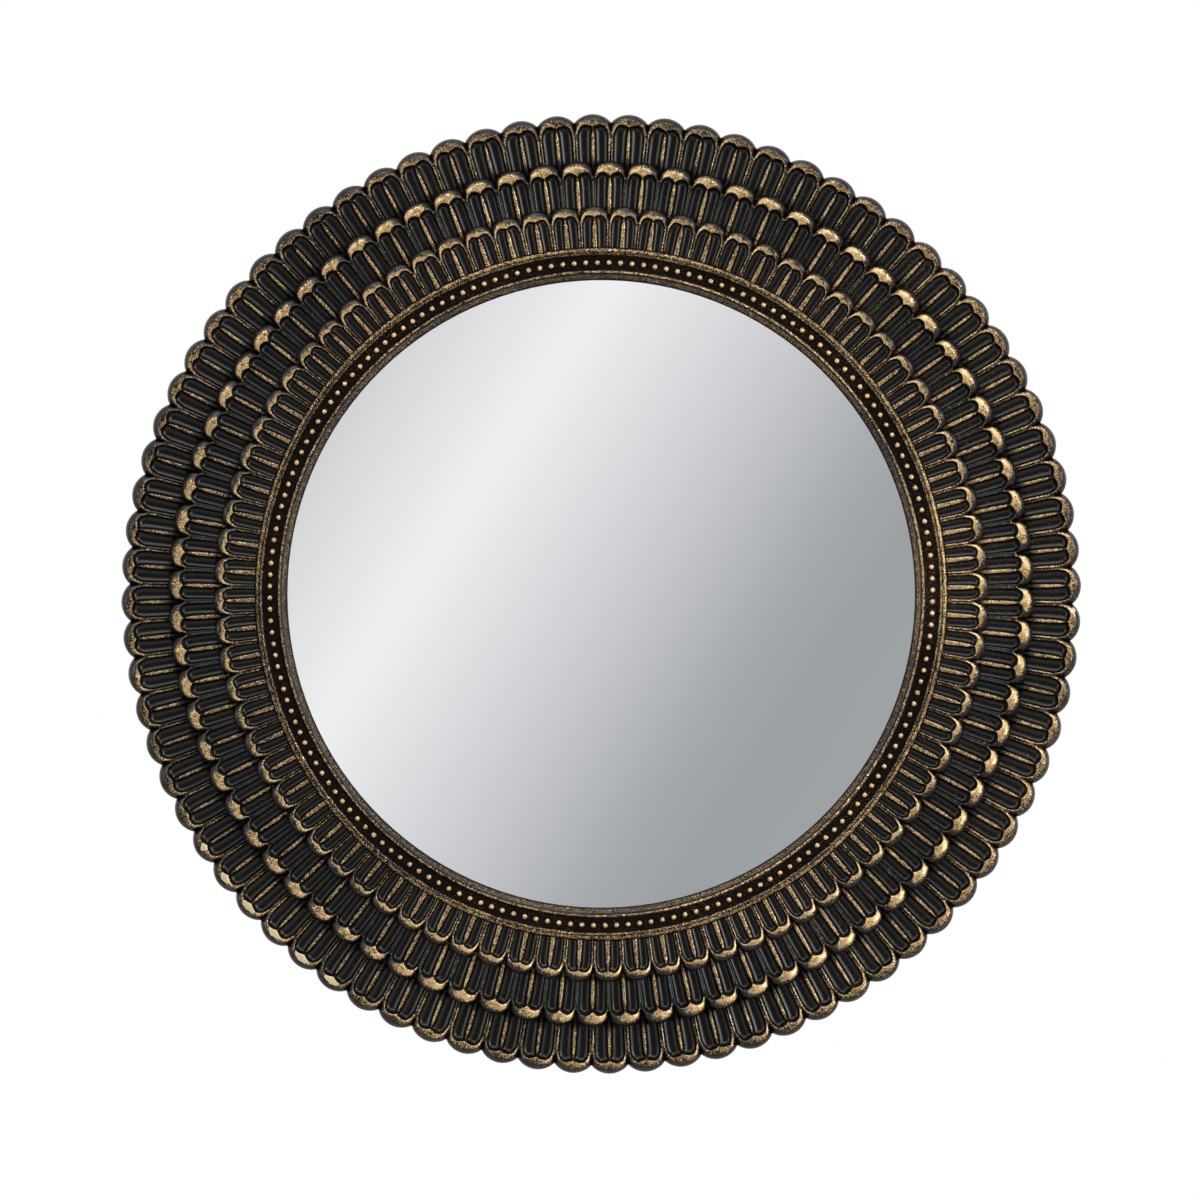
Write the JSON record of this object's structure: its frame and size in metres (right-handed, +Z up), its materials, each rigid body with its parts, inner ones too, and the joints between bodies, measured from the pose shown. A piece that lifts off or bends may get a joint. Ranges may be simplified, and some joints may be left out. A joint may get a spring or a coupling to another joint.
{
  "type": "round wall mirror",
  "caption": "Round wall mirror in a wide black and gold frame of overlapping fluted petals, with a beaded rim, hung from two swinging rings.",
  "frame": {"origin": "on the wall plane, behind the centre of the glass", "axes": "+Z up, +Y into the wall; the mirror faces -Y, with +X to the right as it is seen from the front"},
  "size_m": [0.61, 0.03, 0.61],
  "materials": {
    "painted_fibreboard": "fibreboard painted matt black on the back and edges",
    "outer_petal_finish": "gloss black lacquer with antique gold rubbed on the rims, ribs and arches",
    "middle_petal_finish": "gloss black lacquer with antique gold heads and ribs",
    "inner_petal_finish": "gloss black lacquer with antique gold rubbed on the arches and ribs",
    "beaded_rim_finish": "antique gold rubbed over gloss black on the cord, beads and ridge",
    "silvered_glass": "flat silvered float glass with a ground edge",
    "black_gasket": "matt black foam rubber tape",
    "foam_pad": "white closed-cell foam sheet",
    "hardboard": "plain brown hardboard",
    "screw_steel": "bright zinc-plated steel",
    "strap_steel": "zinc-plated pressed steel",
    "ring_wire": "zinc-plated steel wire",
    "button_steel": "zinc-plated pressed steel",
    "bumper_rubber": "grey rubber with a soft sheen"
  },
  "bodies": {
    "frame": {"base_ring": "painted_fibreboard", "outer_petal_ring": "outer_petal_finish", "middle_petal_ring": "middle_petal_finish", "inner_petal_ring": "inner_petal_finish", "beaded_rim": "beaded_rim_finish", "mirror_glass": "silvered_glass", "glass_gasket": "black_gasket", "backing_pad": "foam_pad", "back_board": "hardboard", "turn_button_screws": "screw_steel", "middle_ring_screws": "screw_steel", "inner_ring_screws": "screw_steel", "rim_screws": "screw_steel", "left_hanger_strap": "strap_steel", "right_hanger_strap": "strap_steel", "hanger_screws": "screw_steel", "upper_right_wall_bumper": "bumper_rubber", "upper_left_wall_bumper": "bumper_rubber", "lower_left_wall_bumper": "bumper_rubber", "lower_right_wall_bumper": "bumper_rubber"},
    "turn_button_1": {"turn_button_1": "button_steel"},
    "turn_button_2": {"turn_button_2": "button_steel"},
    "turn_button_3": {"turn_button_3": "button_steel"},
    "turn_button_4": {"turn_button_4": "button_steel"},
    "turn_button_5": {"turn_button_5": "button_steel"},
    "turn_button_6": {"turn_button_6": "button_steel"},
    "turn_button_7": {"turn_button_7": "button_steel"},
    "turn_button_8": {"turn_button_8": "button_steel"},
    "left_d_ring": {"left_d_ring": "ring_wire"},
    "right_d_ring": {"right_d_ring": "ring_wire"}
  },
  "joints": [
    {"name": "turn_button_1_swivel", "type": "hinge", "parent": "frame", "child": "turn_button_1", "pos_m": [0.19679, -0.0044, 0.08151], "axis": [0, 1, 0], "continuous": true},
    {"name": "turn_button_2_swivel", "type": "hinge", "parent": "frame", "child": "turn_button_2", "pos_m": [0.08151, -0.0044, 0.19679], "axis": [0, 1, 0], "continuous": true},
    {"name": "turn_button_3_swivel", "type": "hinge", "parent": "frame", "child": "turn_button_3", "pos_m": [-0.08151, -0.0044, 0.19679], "axis": [0, 1, 0], "continuous": true},
    {"name": "turn_button_4_swivel", "type": "hinge", "parent": "frame", "child": "turn_button_4", "pos_m": [-0.19679, -0.0044, 0.08151], "axis": [0, 1, 0], "continuous": true},
    {"name": "turn_button_5_swivel", "type": "hinge", "parent": "frame", "child": "turn_button_5", "pos_m": [-0.19679, -0.0044, -0.08151], "axis": [0, 1, 0], "continuous": true},
    {"name": "turn_button_6_swivel", "type": "hinge", "parent": "frame", "child": "turn_button_6", "pos_m": [-0.08151, -0.0044, -0.19679], "axis": [0, 1, 0], "continuous": true},
    {"name": "turn_button_7_swivel", "type": "hinge", "parent": "frame", "child": "turn_button_7", "pos_m": [0.08151, -0.0044, -0.19679], "axis": [0, 1, 0], "continuous": true},
    {"name": "turn_button_8_swivel", "type": "hinge", "parent": "frame", "child": "turn_button_8", "pos_m": [0.19679, -0.0044, -0.08151], "axis": [0, 1, 0], "continuous": true},
    {"name": "left_d_ring_swing", "type": "hinge", "parent": "frame", "child": "left_d_ring", "pos_m": [-0.15, -0.00274, 0.205], "axis": [-1, 0, 0], "range_deg": [0, 150]},
    {"name": "right_d_ring_swing", "type": "hinge", "parent": "frame", "child": "right_d_ring", "pos_m": [0.15, -0.00274, 0.205], "axis": [-1, 0, 0], "range_deg": [0, 150]}
  ]
}
